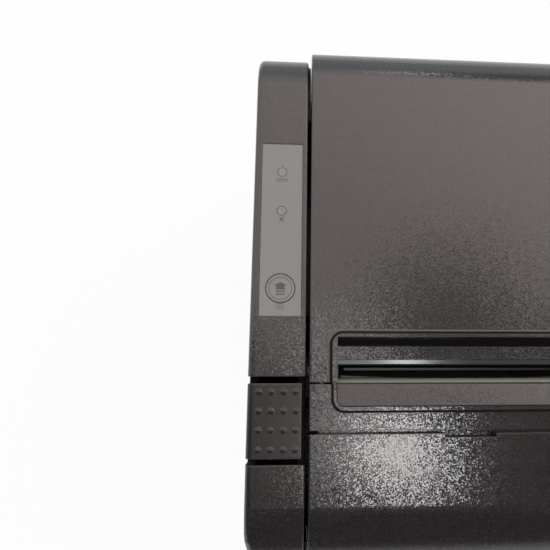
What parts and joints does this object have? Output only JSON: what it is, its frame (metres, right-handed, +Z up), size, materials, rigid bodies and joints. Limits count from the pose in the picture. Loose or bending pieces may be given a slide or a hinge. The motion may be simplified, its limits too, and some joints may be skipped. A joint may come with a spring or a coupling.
{
  "type": "receipt printer",
  "caption": "Desktop thermal receipt printer with a clamshell roll cover, open lever, feed key, auto cutter and pull-off front cover.",
  "frame": {"origin": "centre of the footprint on the table, under the rubber feet", "axes": "+X right, +Y back, +Z up; the front faces -Y"},
  "size_m": [0.145, 0.184, 0.137],
  "materials": {
    "case_black": "fine moulded grain, semi gloss",
    "inner_black": "fine grain",
    "label_grey": "satin printed film",
    "lamp_clear": "frosted",
    "key_grey": "satin",
    "steel": "brushed",
    "blade_steel": "polished",
    "rubber": "matte",
    "gear_white": "moulded acetal",
    "brass": "brass",
    "alu": "extruded",
    "ceramic": "glazed ceramic",
    "board_green": "solder mask",
    "rocker_black": "glossy"
  },
  "bodies": {
    "case": {"base_tray": "case_black", "rubber_feet": "rubber", "case_screws": "steel", "upper_case": "case_black", "hinge_pins": "steel", "paper_bucket": "inner_black", "paper_sensor": "inner_black", "exit_bezel": "case_black", "lever_pin": "steel", "control_label": "label_grey", "light_windows": "lamp_clear", "control_board": "board_green", "mechanism_frame": "steel", "head_rod": "steel", "head_springs": "steel", "lever_spring": "steel", "feed_motor": "steel", "idler_post": "steel", "cutter_frame": "steel", "cutter_guard": "steel", "paper_guide": "inner_black", "cutter_motor": "steel", "main_board": "board_green", "power_socket": "inner_black", "drawer_socket": "inner_black", "usb_socket": "steel", "network_socket": "steel", "switch_body": "inner_black"},
    "cover": {"top_cover": "case_black", "cover_liner": "inner_black", "cover_screws": "steel", "tear_bar_holder": "inner_black", "tear_blade": "blade_steel", "platen_bushes": "gear_white"},
    "platen": {"platen_shaft": "steel", "platen_rubber": "rubber", "platen_gear": "gear_white"},
    "front_cover": {"front_cover": "case_black"},
    "lever": {"open_lever": "case_black"},
    "latch": {"latch_shaft": "steel", "latch_hooks": "inner_black"},
    "feed_key": {"feed_key": "key_grey"},
    "head": {"thermal_head": "ceramic", "heat_sink": "alu"},
    "idler": {"idler_gear": "gear_white"},
    "feed_pinion": {"motor_pinion": "brass"},
    "blade": {"moving_blade": "blade_steel"},
    "cutter_gear": {"cutter_gear": "gear_white"},
    "cutter_pinion": {"cutter_pinion": "brass"},
    "rocker": {"power_rocker": "rocker_black"}
  },
  "joints": [
    {"name": "cover_hinge", "type": "hinge", "parent": "case", "child": "cover", "pos_m": [0, 0.084, 0.1], "axis": [-1, 0, 0], "range_deg": [0, 85]},
    {"name": "platen_spin", "type": "hinge", "parent": "cover", "child": "platen", "pos_m": [0, -0.01933, 0.10982], "axis": [1, 0, 0], "continuous": true},
    {"name": "idler_spin", "type": "hinge", "parent": "case", "child": "idler", "pos_m": [-0.05, -0.02429, 0.09252], "axis": [1, 0, 0], "continuous": true},
    {"name": "feed_motor_spin", "type": "hinge", "parent": "case", "child": "feed_pinion", "pos_m": [-0.05, -0.03276, 0.08087], "axis": [1, 0, 0], "continuous": true},
    {"name": "front_cover_pull", "type": "slide", "parent": "case", "child": "front_cover", "axis": [0, -1, 0], "range_m": [0, 0.03]},
    {"name": "lever_press", "type": "hinge", "parent": "case", "child": "lever", "pos_m": [-0.0625, -0.03316, 0.11688], "axis": [1, 0, 0], "range_deg": [0, 6], "stiffness_Nm_per_rad": 0.5, "springref_deg": -4.58, "deforming": ["lever_spring"]},
    {"name": "latch_turn", "type": "hinge", "parent": "case", "child": "latch", "pos_m": [0, -0.03617, 0.10263], "axis": [1, 0, 0], "range_deg": [0, 9]},
    {"name": "feed_key_press", "type": "slide", "parent": "case", "child": "feed_key", "axis": [0, 0.0698, -0.9976], "range_m": [0, 0.0005], "stiffness_N_per_m": 1200, "springref_m": -0.0006},
    {"name": "head_tilt", "type": "hinge", "parent": "case", "child": "head", "pos_m": [0, -0.02769, 0.10172], "axis": [1, 0, 0], "range_deg": [0, 2.5], "stiffness_Nm_per_rad": 4, "springref_deg": -2.86, "deforming": ["head_springs"]},
    {"name": "blade_slide", "type": "slide", "parent": "case", "child": "blade", "axis": [0, 0.9976, 0.0698], "range_m": [0, 0.005]},
    {"name": "cutter_gear_spin", "type": "hinge", "parent": "case", "child": "cutter_gear", "pos_m": [-0.024, -0.06093, 0.12696], "axis": [0, -0.0698, 0.9976], "range_deg": [0, 80]},
    {"name": "cutter_motor_spin", "type": "hinge", "parent": "case", "child": "cutter_pinion", "pos_m": [-0.012, -0.06093, 0.12696], "axis": [0, -0.0698, 0.9976], "range_deg": [-240, 0]},
    {"name": "rocker_turn", "type": "hinge", "parent": "case", "child": "rocker", "pos_m": [0.0682, 0.052, 0.046], "axis": [0, 0, 1], "range_deg": [0, 12]}
  ],
  "couplings": [
    {"joint": "idler_spin", "follows": "platen_spin", "ratio": -0.66667},
    {"joint": "feed_motor_spin", "follows": "platen_spin", "ratio": 2},
    {"joint": "latch_turn", "follows": "lever_press", "ratio": 1.3},
    {"joint": "cutter_gear_spin", "follows": "blade_slide", "rad_per_m": 277.78},
    {"joint": "cutter_motor_spin", "follows": "blade_slide", "rad_per_m": -833.33}
  ]
}
